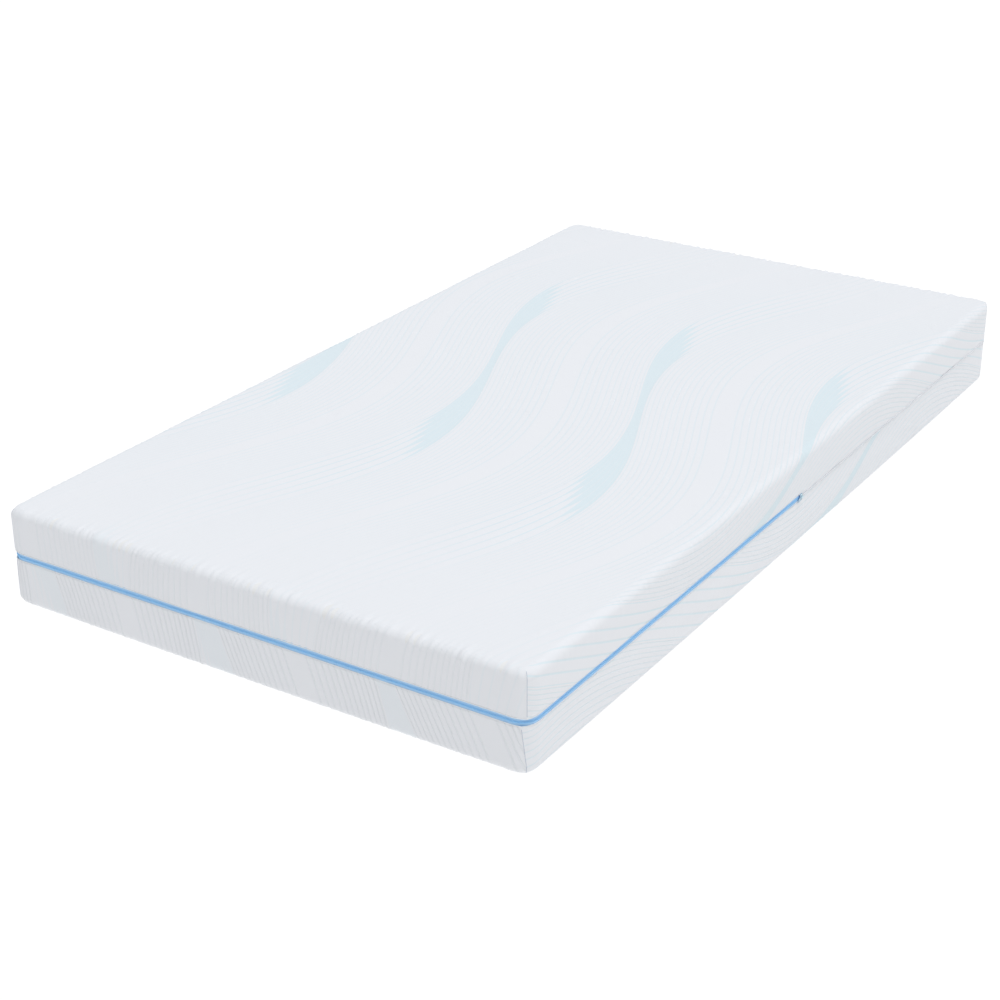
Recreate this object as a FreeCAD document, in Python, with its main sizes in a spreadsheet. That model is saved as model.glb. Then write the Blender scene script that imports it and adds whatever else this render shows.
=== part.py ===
import FreeCAD, Part
import os

import Sketcher
from FreeCAD import Placement, Rotation, Vector

# A single memory foam mattress lying flat. +Z is up, X runs across the width and Y along the
# length. The origin is the centre of the face that it lies on. A zip runs round the front half
# of the cover, from mid-length on one long side to mid-length on the other. The upper half of
# the cover in front of the zip's ends is the part that folds back.

# Driving dimensions: millimetres, and degrees where the name says so.
DIMENSIONS = {
    "mattress_length": 1900.0,
    "mattress_width": 1050.0,
    "mattress_height": 180.0,
    "corner_radius": 30.0,
    "top_edge_radius": 14.0,
    "base_edge_radius": 14.0,
    # Layers, from the outside in.
    "fabric_thickness": 1.5,
    "wadding_thickness": 5.0,
    "sleeve_thickness": 0.8,
    "memory_foam_thickness": 50.0,
    "lining_gap": 0.1,
    "running_gap": 0.4,
    # The zip's band in the side walls, and the plain seam that carries it on behind.
    "zip_level": 93.0,
    "zip_band": 11.0,
    "zip_side_length": 947.0,
    "tape_thickness": 0.7,
    "tape_hidden_width": 7.0,
    "coil_width": 1.3,
    "chain_gap": 1.2,
    "wadding_gap": 0.5,
    "fold_setback": 17.0,
    "fold_gap": 0.4,
    "tack_length": 1.6,
    "seam_bead_height": 1.6,
    "seam_bead_depth": 2.0,
    "seam_bead_proud": 0.4,
    "seam_gap": 0.2,
    "stitch_width": 0.6,
    "stitch_proud": 0.4,
    "stitch_setback": 2.0,
    "corner_thread_diameter": 1.0,
    # The slider and its pull tab.
    "slider_length": 13.0,
    "slider_mouth_width": 7.6,
    "slider_shoulder_width": 9.0,
    "slider_plate": 1.2,
    "slider_web": 0.6,
    "slider_web_length": 5.0,
    "slider_lip": 0.9,
    "crown_length": 8.6,
    "crown_width": 2.4,
    "crown_post": 1.2,
    "tab_thickness": 1.0,
    "tab_length": 14.0,
    "tab_width": 8.0,
    "tab_tip_width": 5.0,
    "tab_eye_width": 6.2,
    "tab_eye_length": 5.4,
    "tab_bar": 1.2,
    "tab_tip_taper": 1.2,
    "tab_hole_setback": 2.6,
    "tab_hole_diameter": 1.8,
    "tab_droop_deg": 24.0,
}

doc = FreeCAD.newDocument("memory_foam_mattress")
sheet = doc.addObject("Spreadsheet::Sheet", "Sizes")
for row, (alias, number) in enumerate(DIMENSIONS.items(), start=1):
    sheet.set("A%d" % row, alias)
    sheet.set("B%d" % row, str(number))
    sheet.setAlias("B%d" % row, alias)
doc.recompute()


def size(alias):
    """A cell of the sheet, as an expression refers to it."""
    return "Sizes.%s" % alias


# Places that several pieces share, as expressions in the sheet's cells.
WALL = size("fabric_thickness")
WADDING_INSET = "(%s + %s)" % (WALL, size("lining_gap"))
WADDING_BACK = "(%s + %s)" % (WADDING_INSET, size("wadding_thickness"))
SLEEVE_INSET = "(%s + %s)" % (WADDING_BACK, size("running_gap"))
FOAM_INSET = "(%s + %s + %s)" % (SLEEVE_INSET, size("sleeve_thickness"), size("running_gap"))
TAPE_INSET = WADDING_INSET
TAPE_BACK = "(%s + %s)" % (TAPE_INSET, size("tape_thickness"))
HALF_BAND = "%s / 2" % size("zip_band")
HALF_GAP = "%s / 2" % size("chain_gap")
LOWER_HEM = "(%s - %s)" % (size("zip_level"), HALF_BAND)
UPPER_HEM = "(%s + %s)" % (size("zip_level"), HALF_BAND)
TAPE_FOOT = "(%s - %s)" % (LOWER_HEM, size("tape_hidden_width"))
TAPE_HEAD = "(%s + %s)" % (UPPER_HEM, size("tape_hidden_width"))
HALF_BEAD = "(%s / 2 + %s)" % (size("seam_bead_height"), size("seam_gap"))
ZIP_END_Y = "(%s - %s / 2)" % (size("zip_side_length"), size("mattress_length"))
FOLD_Y = "(%s - %s)" % (ZIP_END_Y, size("fold_setback"))
CHAIN_END = "(%s - %s - %s)" % (size("zip_side_length"), size("tack_length"), size("running_gap"))
FLAP_LENGTH = "(%s - %s - %s / 2)" % (size("zip_side_length"), size("fold_setback"), size("fold_gap"))
REAR_LENGTH = "(%s - %s - %s)" % (size("mattress_length"), FLAP_LENGTH, size("fold_gap"))
SEAM_LENGTH = "(%s - %s)" % (size("mattress_length"), size("zip_side_length"))
SLIDER_Y = "(%s - %s - 2 * %s - %s / 2)" % (
    ZIP_END_Y,
    size("tack_length"),
    size("running_gap"),
    size("slider_length"),
)


def bind(thing, prop, expression):
    """Ties one property to the sheet."""
    thing.setExpression(prop, expression)


def value(expression):
    """The number that an expression has now."""
    result = sheet.evalExpression(expression)
    return float(getattr(result, "Value", result))


def origin_plane(body, role):
    """One of a body's own origin planes, found by its role."""
    return next(item for item in body.Origin.OriginFeatures if item.Role == role)


def new_sketch(body, name, role):
    """An empty sketch on one of the body's origin planes."""
    sketch = body.newObject("Sketcher::SketchObject", name)
    sketch.AttachmentSupport = [(origin_plane(body, role), "")]
    sketch.MapMode = "FlatFace"
    return sketch


def tie(sketch, constraint, expression):
    """Adds a dimension to a sketch and ties it to the sheet."""
    number = sketch.addConstraint(constraint)
    sketch.setExpression("Constraints[%d]" % number, expression)


def closed_outline(sketch, points):
    """Straight lines round a list of points, each joined to the next."""
    corners = [Vector(x, y, 0) for x, y in points]
    count = len(corners)
    for i in range(count):
        sketch.addGeometry(Part.LineSegment(corners[i], corners[(i + 1) % count]), False)
    for i in range(count):
        sketch.addConstraint(Sketcher.Constraint("Coincident", i, 2, (i + 1) % count, 1))


def rectangle(sketch, width, distance, length, side):
    """A rectangle centred on the sketch's Y axis. Its outer edge lies at a distance from the
    X axis, on the side given by -1 or 1, and its length runs from there towards the other side."""
    half = value(width) / 2
    outer = side * value(distance)
    inner = outer - side * value(length)
    closed_outline(sketch, [(-half, outer), (half, outer), (half, inner), (-half, inner)])
    sketch.addConstraint(Sketcher.Constraint("Horizontal", 2))
    for line in (1, 3):
        sketch.addConstraint(Sketcher.Constraint("Vertical", line))
    sketch.addConstraint(Sketcher.Constraint("Symmetric", 0, 1, 0, 2, -2))
    tie(sketch, Sketcher.Constraint("DistanceX", 0, 1, 0, 2, 2 * half), width)
    if side < 0:
        outward = Sketcher.Constraint("DistanceY", 0, 1, -1, 1, abs(outer))
        inward = Sketcher.Constraint("DistanceY", 1, 1, 1, 2, abs(outer - inner))
    else:
        outward = Sketcher.Constraint("DistanceY", -1, 1, 0, 1, abs(outer))
        inward = Sketcher.Constraint("DistanceY", 1, 2, 1, 1, abs(outer - inner))
    tie(sketch, outward, distance)
    tie(sketch, inward, length)


def pad(body, name, sketch, height):
    """Pads a sketch along its normal."""
    feature = body.newObject("PartDesign::Pad", name)
    feature.Profile = sketch
    bind(feature, "Length", height)
    doc.recompute()
    return feature


def edge_names(shape, wanted):
    """The names of the edges for which a test of their middle and direction holds."""
    names = []
    for number, edge in enumerate(shape.Edges, start=1):
        middle = edge.valueAt((edge.FirstParameter + edge.LastParameter) / 2)
        along = edge.tangentAt(edge.FirstParameter)
        if wanted(middle, along):
            names.append("Edge%d" % number)
    return names


def face_names(shape, wanted):
    """The names of the flat faces for which a test of their middle and normal holds."""
    names = []
    for number, face in enumerate(shape.Faces, start=1):
        if isinstance(face.Surface, Part.Plane) and wanted(face.CenterOfMass, face.normalAt(0, 0)):
            names.append("Face%d" % number)
    return names


def fillet(body, name, base, edges, radius):
    """Rounds some edges of a feature."""
    feature = body.newObject("PartDesign::Fillet", name)
    feature.Base = (base, edges)
    bind(feature, "Radius", radius)
    doc.recompute()
    return feature


TOLERANCE = 0.01


def rounded_block(name, inset, low, height, end, length=None, rounded=None):
    """A block that fits in the mattress's outline at an inset from it.

    end is "front", "rear" or "both": which of the short ends it reaches. length is how far it
    runs from that end. rounded is "top" or "base" where those edges are rounded as well.
    """
    body = doc.addObject("PartDesign::Body", name)
    body.Label = name
    sketch = new_sketch(body, name + "_outline", "XY_Plane")
    reach = "%s / 2 - %s" % (size("mattress_length"), inset)
    run = "2 * (%s)" % reach if end == "both" else "%s - %s" % (length, inset)
    side = 1 if end == "rear" else -1
    rectangle(sketch, "%s - 2 * %s" % (size("mattress_width"), inset), reach, run, side)
    bind(sketch, "AttachmentOffset.Base.z", low)
    block = pad(body, name + "_block", sketch, height)

    bounds = block.Shape.BoundBox
    reached = {"front": [bounds.YMin], "rear": [bounds.YMax], "both": [bounds.YMin, bounds.YMax]}[end]

    def upright(middle, along):
        return abs(along.z) > 0.99 and min(abs(middle.y - y) for y in reached) < TOLERANCE

    corners = edge_names(block.Shape, upright)
    block = fillet(body, name + "_corners", block, corners, "%s - %s" % (size("corner_radius"), inset))
    if rounded:
        level = bounds.ZMax if rounded == "top" else bounds.ZMin
        open_end = {"front": bounds.YMax, "rear": bounds.YMin, "both": None}[end]

        def rim(middle, along):
            at_cut = open_end is not None and abs(middle.y - open_end) < TOLERANCE
            return abs(middle.z - level) < TOLERANCE and abs(along.z) < TOLERANCE and not at_cut

        radius = "%s - %s" % (size(rounded + "_edge_radius"), inset)
        block = fillet(body, name + "_edges", block, edge_names(block.Shape, rim), radius)
    return body, block


def hollow(body, block, thickness, open_faces):
    """Leaves only a wall inside the block, open at the flat faces named: top, base, front, rear.

    A notch in an open side is open too, and so is the step at its end.
    """
    bounds = block.Shape.BoundBox
    places = {
        "top": (2, [bounds.ZMax, value(LOWER_HEM)]),
        "base": (2, [bounds.ZMin, value(UPPER_HEM)]),
        "front": (1, [bounds.YMin]),
        "rear": (1, [bounds.YMax]),
        "step": (1, [value(ZIP_END_Y)]),
    }

    def is_open(middle, normal):
        for side in open_faces:
            axis, levels = places[side]
            nearest = min(abs(middle[axis] - level) for level in levels)
            if abs(normal[axis]) > 0.99 and nearest < TOLERANCE:
                return True
        return False

    feature = body.newObject("PartDesign::Thickness", body.Name + "_wall")
    feature.Base = (block, face_names(block.Shape, is_open))
    feature.Reversed = True
    bind(feature, "Value", thickness)
    doc.recompute()
    return feature


def notch(body, block, side):
    """Steps the open side of a block back to the zip's hem, as far as the zip's end."""
    bounds = block.Shape.BoundBox
    sketch = new_sketch(body, body.Name + "_notch_outline", "YZ_Plane")
    level = value(ZIP_END_Y)
    low, high = (LOWER_HEM, size("zip_level")) if side == "top" else (size("zip_level"), UPPER_HEM)
    reach = 0.6 * value(size("mattress_length"))
    base, crest = value(low), value(high)
    closed_outline(sketch, [(-reach, base), (level, base), (level, crest), (-reach, crest)])
    for line in (0, 2):
        sketch.addConstraint(Sketcher.Constraint("Horizontal", line))
    for line in (1, 3):
        sketch.addConstraint(Sketcher.Constraint("Vertical", line))
    beyond = "0.6 * %s" % size("mattress_length")
    tie(sketch, Sketcher.Constraint("DistanceX", 0, 1, -1, 1, reach), beyond)
    tie(sketch, Sketcher.Constraint("DistanceX", 0, 1, 0, 2, reach + level), "%s + %s" % (beyond, ZIP_END_Y))
    tie(sketch, Sketcher.Constraint("DistanceY", -1, 1, 0, 1, base), low)
    tie(sketch, Sketcher.Constraint("DistanceY", 1, 1, 1, 2, crest - base), HALF_BAND)
    feature = body.newObject("PartDesign::Pocket", body.Name + "_notch")
    feature.Profile = sketch
    feature.Type = "ThroughAll"
    feature.Midplane = True
    doc.recompute()
    if not feature.Shape.Volume < block.Shape.Volume - bounds.XLength:
        raise RuntimeError("%s cuts nothing" % feature.Name)
    return feature


def shell(name, inset, thickness, low, height, end, length=None, rounded=None, notched=False):
    """A sewn shell of the cover or its wadding: rounded on top or at the base, open opposite."""
    body, block = rounded_block(name, inset, low, height, end, length, rounded)
    open_faces = ["base" if rounded == "top" else "top"]
    if notched:
        block = notch(body, block, open_faces[0])
        open_faces.append("step")
    if end != "both":
        open_faces.append("rear" if end == "front" else "front")
    hollow(body, block, thickness, open_faces)
    return body


def band(name, inset, thickness, low, height, end, length):
    """A narrow strip that runs along both long sides and round one short end."""
    body, block = rounded_block(name, inset, low, height, end, length)
    hollow(body, block, thickness, ["top", "base", "rear" if end == "front" else "front"])
    return body


def strip(name, inset, thickness, y_start, length, low, height):
    """A short straight strip in the right-hand side wall."""
    box = doc.addObject("Part::Box", name)
    bind(box, "Length", thickness)
    bind(box, "Width", length)
    bind(box, "Height", height)
    bind(box, "Placement.Base.x", "%s / 2 - %s - %s" % (size("mattress_width"), inset, thickness))
    bind(box, "Placement.Base.y", y_start)
    bind(box, "Placement.Base.z", low)
    return box


def mirrored(source, normal):
    """The source's mirror image across a plane through the origin."""
    image = doc.addObject("Part::Mirroring", source.Name + "_mirrored")
    image.Source = source
    image.Base = Vector(0, 0, 0)
    image.Normal = normal
    return image


def group(name, members):
    """Separate solids of one kind that share a node."""
    compound = doc.addObject("Part::Compound", name)
    compound.Label = name
    compound.Links = members
    return compound


ACROSS = Vector(1, 0, 0)
ALONG = Vector(0, 1, 0)


def foam_layers():
    """The support foam, and the memory foam glued on it."""
    lift = "(%s - %s - %s)" % (size("mattress_height"), FOAM_INSET, size("memory_foam_thickness"))
    support, _ = rounded_block(
        "support_foam_core", FOAM_INSET, FOAM_INSET, "%s - %s" % (lift, FOAM_INSET), "both", rounded="base"
    )
    comfort, _ = rounded_block(
        "memory_foam_layer", FOAM_INSET, lift, size("memory_foam_thickness"), "both", rounded="top"
    )
    return [support, comfort]


def inner_sleeve():
    """The knitted sleeve that closes round both foam layers, and the seam across each end."""
    lower = "(%s - 2 * %s)" % (size("mattress_height"), SLEEVE_INSET)
    outside = sleeve_solid("sleeve_outside", SLEEVE_INSET, lower)
    lining = "(%s + %s)" % (SLEEVE_INSET, size("sleeve_thickness"))
    room = "(%s - 2 * %s)" % (size("mattress_height"), lining)
    inside = sleeve_solid("sleeve_inside", lining, room)
    sleeve = doc.addObject("Part::Cut", "inner_sleeve")
    sleeve.Label = "inner_sleeve"
    sleeve.Base = outside
    sleeve.Tool = inside

    seam = doc.addObject("Part::Box", "sleeve_end_seam")
    bind(seam, "Length", "%s - 2 * %s" % (size("mattress_width"), size("corner_radius")))
    bind(seam, "Width", "%s / 2" % size("wadding_thickness"))
    bind(seam, "Height", "2 * %s" % size("sleeve_thickness"))
    bind(seam, "Placement.Base.x", "%s - %s / 2" % (size("corner_radius"), size("mattress_width")))
    bind(
        seam,
        "Placement.Base.y",
        "%s - %s / 2 - %s - %s / 2"
        % (SLEEVE_INSET, size("mattress_length"), size("lining_gap"), size("wadding_thickness")),
    )
    bind(seam, "Placement.Base.z", "%s - %s" % (size("zip_level"), size("sleeve_thickness")))
    seams = group("sleeve_end_seams", [seam, mirrored(seam, ALONG)])
    return [sleeve, seams]


def sleeve_solid(name, inset, height):
    """A block rounded at all its edges but the flat faces, for the outside or inside of the sleeve."""
    body, block = rounded_block(name, inset, inset, height, "both", rounded="base")
    top = block.Shape.BoundBox.ZMax

    def rim(middle, along):
        return abs(middle.z - top) < TOLERANCE and abs(along.z) < TOLERANCE

    edges = edge_names(block.Shape, rim)
    fillet(body, name + "_top", block, edges, "%s - %s" % (size("top_edge_radius"), inset))
    return body


def cover_base():
    """The lower half of the cover, its wadding and the seams up its corners."""
    seam_level = "(%s - %s)" % (size("zip_level"), HALF_BEAD)
    cover = shell("cover_base", "0", WALL, "0", seam_level, "both", rounded="base", notched=True)
    wadding = shell(
        "base_wadding",
        WADDING_INSET,
        size("wadding_thickness"),
        WADDING_INSET,
        "%s - %s - %s" % (TAPE_FOOT, size("wadding_gap"), WADDING_INSET),
        "both",
        rounded="base",
    )
    return [cover, wadding]


def cover_top_rear():
    """The rear part of the cover's top, which stays put, and its wadding."""
    low = "(%s + %s)" % (size("zip_level"), HALF_BEAD)
    height = "%s - %s" % (size("mattress_height"), low)
    cover = shell("cover_top_rear", "0", WALL, low, height, "rear", REAR_LENGTH, "top", notched=True)
    return [cover, top_wadding("top_rear_wadding", "rear", REAR_LENGTH)]


def cover_top_flap():
    """The front part of the cover's top, which folds back once the zip is open, and its wadding."""
    height = "%s - %s" % (size("mattress_height"), UPPER_HEM)
    cover = shell("cover_top_flap", "0", WALL, UPPER_HEM, height, "front", FLAP_LENGTH, "top")
    return [cover, top_wadding("flap_wadding", "front", FLAP_LENGTH)]


def top_wadding(name, end, length):
    """Wadding behind one part of the cover's top. It stops short of the zip's tape."""
    low = "(%s + %s)" % (TAPE_HEAD, size("wadding_gap"))
    height = "%s - %s - %s" % (size("mattress_height"), WADDING_INSET, low)
    return shell(name, WADDING_INSET, size("wadding_thickness"), low, height, end, length, "top")


def zip_tapes():
    """The two tapes, sewn behind the hems. The upper one is in two lengths, apart at the fold."""
    width = "(%s - %s + %s)" % (HALF_BAND, HALF_GAP, size("tape_hidden_width"))
    upper_edge = "(%s + %s)" % (size("zip_level"), HALF_GAP)
    thickness = size("tape_thickness")
    lower = band("zip_tape_lower", TAPE_INSET, thickness, TAPE_FOOT, width, "front", CHAIN_END)
    upper = band("zip_tape_upper", TAPE_INSET, thickness, upper_edge, width, "front", FLAP_LENGTH)
    end = strip("zip_tape_upper_end", TAPE_INSET, thickness, *end_span(), upper_edge, width)
    return [lower, upper, group("zip_tape_upper_ends", [end, mirrored(end, ACROSS)])]


def zip_coils():
    """The two rows of coil, on the outside of the tapes and flush with the cover."""
    width = size("coil_width")
    lower_start = "%s - %s - %s" % (size("zip_level"), HALF_GAP, width)
    upper_start = "(%s + %s)" % (size("zip_level"), HALF_GAP)
    lower = band("zip_coil_lower", "0", WALL, lower_start, width, "front", CHAIN_END)
    upper = band("zip_coil_upper", "0", WALL, upper_start, width, "front", FLAP_LENGTH)
    end = strip("zip_coil_upper_end", "0", WALL, *end_span(), upper_start, width)
    return [lower, upper, group("zip_coil_upper_ends", [end, mirrored(end, ACROSS)])]


def end_span():
    """Where the upper tape's fixed end starts behind the fold, and how long it is."""
    start = "%s + %s / 2" % (FOLD_Y, size("fold_gap"))
    length = "%s - %s / 2 - %s - %s" % (
        size("fold_setback"),
        size("fold_gap"),
        size("tack_length"),
        size("running_gap"),
    )
    return start, length


def zip_end_tacks():
    """The bar of thread sewn across the zip at each end, which stops the slider."""
    start = "%s - %s - %s / 2" % (ZIP_END_Y, size("tack_length"), size("running_gap"))
    height = "%s - 2 * %s" % (size("zip_band"), size("seam_gap"))
    low = "%s + %s" % (LOWER_HEM, size("seam_gap"))
    tack = strip("zip_end_tack", "0", TAPE_BACK, start, size("tack_length"), low, height)
    return [group("zip_end_tacks", [tack, mirrored(tack, ACROSS)])]


def joining_seam():
    """The corded seam that joins the two halves of the cover behind the zip's ends."""
    low = "%s - %s / 2" % (size("zip_level"), size("seam_bead_height"))
    seam = band(
        "joining_seam",
        "(0 - %s)" % size("seam_bead_proud"),
        size("seam_bead_depth"),
        low,
        size("seam_bead_height"),
        "rear",
        "(%s - %s)" % (SEAM_LENGTH, size("seam_bead_proud")),
    )
    return [seam]


def hem_stitching():
    """The rows of thread that sew the hems to the tapes, one above the zip and one below it."""
    outside = "(0 - %s - %s)" % (size("stitch_proud"), size("lining_gap"))
    rows = []
    for name, low, run in (
        ("flap_zip_stitching", "%s + %s" % (UPPER_HEM, size("stitch_setback")), FLAP_LENGTH),
        (
            "base_zip_stitching",
            "%s - %s - %s" % (LOWER_HEM, size("stitch_setback"), size("stitch_width")),
            size("zip_side_length"),
        ),
    ):
        rows.append(band(name, outside, size("stitch_proud"), low, size("stitch_width"), "front", run))
    return rows


def corner_thread(name, low, height):
    """A thread seam up the outside of the cover's front right corner."""
    thread = doc.addObject("Part::Cylinder", name)
    bind(thread, "Radius", "%s / 2" % size("corner_thread_diameter"))
    bind(thread, "Height", height)
    out = "(%s + %s / 2 + %s)" % (size("corner_radius"), size("corner_thread_diameter"), size("lining_gap"))
    across = "%s / 2 - %s" % (size("mattress_width"), size("corner_radius"))
    along = "%s / 2 - %s" % (size("mattress_length"), size("corner_radius"))
    bind(thread, "Placement.Base.x", "%s + %s * cos(45 deg)" % (across, out))
    bind(thread, "Placement.Base.y", "0 - (%s) - %s * sin(45 deg)" % (along, out))
    bind(thread, "Placement.Base.z", low)
    return thread


def corner_seams():
    """The seams up the four corners of the cover, above and below the zip."""
    row = "(%s + %s + %s)" % (size("stitch_setback"), size("stitch_width"), size("seam_gap"))
    foot = "(%s + %s)" % (UPPER_HEM, row)
    head = "(%s - %s)" % (size("mattress_height"), size("top_edge_radius"))
    above = corner_thread("corner_thread_above", foot, "%s - %s" % (head, foot))
    above_left = mirrored(above, ACROSS)
    rise = "%s - %s - %s" % (LOWER_HEM, row, size("base_edge_radius"))
    below = corner_thread("corner_thread_below", size("base_edge_radius"), rise)
    below_left = mirrored(below, ACROSS)
    rear = [mirrored(above, ALONG), mirrored(above_left, ALONG)]
    base = [below, below_left, mirrored(below, ALONG), mirrored(below_left, ALONG)]
    return [
        group("flap_corner_seams", [above, above_left]),
        group("rear_corner_seams", rear),
        group("base_corner_seams", base),
    ]


# The slider and tab are drawn looking at the right-hand wall: in their sketches X runs along
# the zip towards the rear, Y is up and the normal points out of the wall. Their own origin is
# on the zip's centre line, at the back of the outer plate.
OUTER_PLATE_X = "(%s / 2 + %s)" % (size("mattress_width"), size("running_gap"))
PIVOT_OUT = "(%s + %s + %s / 2)" % (size("slider_plate"), size("running_gap"), size("tab_thickness"))


def centred_outline(sketch, points, dimensions):
    """An outline symmetrical about the sketch's X axis, from the points of its upper half."""
    whole = points + [(x, -y) for x, y in reversed(points)]
    closed_outline(sketch, whole)
    last = len(whole) - 1
    for i in range(len(points)):
        sketch.addConstraint(Sketcher.Constraint("Symmetric", i, 1, last - i, 1, -1))
    for i, along, up in dimensions:
        x, y = points[i]
        start, finish = ((i, 1), (-1, 1)) if x < 0 else ((-1, 1), (i, 1))
        tie(sketch, Sketcher.Constraint("DistanceX", *start, *finish, abs(x)), along)
        tie(sketch, Sketcher.Constraint("DistanceY", -1, 1, i, 1, y), up)


def plate_sketch(body, name, offset, points, dimensions):
    """A symmetrical outline parallel to the wall, at an offset out from the body's origin."""
    sketch = new_sketch(body, name, "YZ_Plane")
    numbers = [(value(x), value(y)) for x, y in points]
    centred_outline(sketch, numbers, dimensions)
    bind(sketch, "AttachmentOffset.Base.z", offset)
    return sketch


def positive(expression):
    """The size of a length that a sketch draws to the left of its origin."""
    return "abs(%s)" % expression


def symmetric_plate(body, name, offset, height, points):
    """Pads a symmetrical plate, given the points of its upper half from front to rear."""
    dimensions = [(i, positive(x), y) for i, (x, y) in enumerate(points)]
    return pad(body, name, plate_sketch(body, name + "_outline", offset, points, dimensions), height)


def zip_slider():
    """Two plates joined by a web that runs in the gap of the chain, with a crown for the tab."""
    body = doc.addObject("PartDesign::Body", "zip_slider")
    body.Label = "zip_slider"
    nose = "(0 - %s / 2)" % size("slider_length")
    tail = "(%s / 2)" % size("slider_length")
    mouth = "(%s / 2)" % size("slider_mouth_width")
    shoulder = "(%s / 2)" % size("slider_shoulder_width")
    outline = [
        (nose, "%s / 2" % mouth),
        ("%s * 0.8" % nose, mouth),
        ("%s * 0.3" % tail, shoulder),
        ("%s * 0.8" % tail, shoulder),
        (tail, "%s / 2" % shoulder),
    ]
    plate = size("slider_plate")
    symmetric_plate(body, "outer_plate", "0", plate, outline)

    depth = "(%s + 2 * %s)" % (TAPE_BACK, size("running_gap"))
    web_tail = "(%s - 0.5)" % tail
    web_nose = "(%s - %s)" % (web_tail, size("slider_web_length"))
    half_web = "(%s / 2)" % size("slider_web")
    web = [(web_nose, half_web), (web_tail, half_web)]
    symmetric_plate(body, "web", "0 - %s" % depth, "%s + 0.1" % depth, web)
    symmetric_plate(body, "inner_plate", "0 - %s - %s" % (depth, plate), plate, outline)

    lip_foot = "(%s - %s)" % (mouth, size("slider_lip"))
    lip_height = "(%s - %s)" % (WALL, size("lining_gap"))
    for side in (1, -1):
        lip = new_sketch(body, "lip_outline_%s" % ("upper" if side > 0 else "lower"), "YZ_Plane")
        front = value(nose) * 0.8
        back = value(tail) * 0.8
        low = side * value(lip_foot)
        high = side * value(mouth)
        closed_outline(lip, [(front, low), (back, low), (back, high), (front, high)])
        for line in (0, 2):
            lip.addConstraint(Sketcher.Constraint("Horizontal", line))
        for line in (1, 3):
            lip.addConstraint(Sketcher.Constraint("Vertical", line))
        start = Sketcher.Constraint("DistanceX", 0, 1, -1, 1, -front)
        tie(lip, start, "0.4 * %s" % size("slider_length"))
        length = Sketcher.Constraint("DistanceX", 0, 1, 0, 2, back - front)
        tie(lip, length, "0.8 * %s" % size("slider_length"))
        reach = ((-1, 1), (0, 1)) if side > 0 else ((0, 1), (-1, 1))
        tie(lip, Sketcher.Constraint("DistanceY", *reach[0], *reach[1], abs(low)), lip_foot)
        rise = ((1, 1), (1, 2)) if side > 0 else ((1, 2), (1, 1))
        tie(lip, Sketcher.Constraint("DistanceY", *rise[0], *rise[1], abs(high - low)), size("slider_lip"))
        bind(lip, "AttachmentOffset.Base.z", "0 - %s" % lip_height)
        pad(body, "lip_upper" if side > 0 else "lip_lower", lip, "%s + 0.1" % lip_height)

    clear = "(2 * %s + %s)" % (size("running_gap"), size("tab_thickness"))
    crown_front = "(0 - %s / 2)" % size("crown_length")
    crown_rear = "(%s / 2)" % size("crown_length")
    half_crown = "(%s / 2)" % size("crown_width")
    post = size("crown_post")
    rise = "%s + %s + %s" % (clear, post, "0.1")
    foot = "%s - 0.1" % plate
    spans = (
        ("crown_front", crown_front, "(%s + %s)" % (crown_front, post)),
        ("crown_rear", "(%s - %s)" % (crown_rear, post), crown_rear),
    )
    for name, start, finish in spans:
        symmetric_plate(body, name, foot, rise, [(start, half_crown), (finish, half_crown)])
    bridge = [(crown_front, half_crown), (crown_rear, half_crown)]
    symmetric_plate(body, "crown_bridge", "%s + %s" % (plate, clear), post, bridge)

    place_on_zip(body, "0")
    return body


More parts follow.
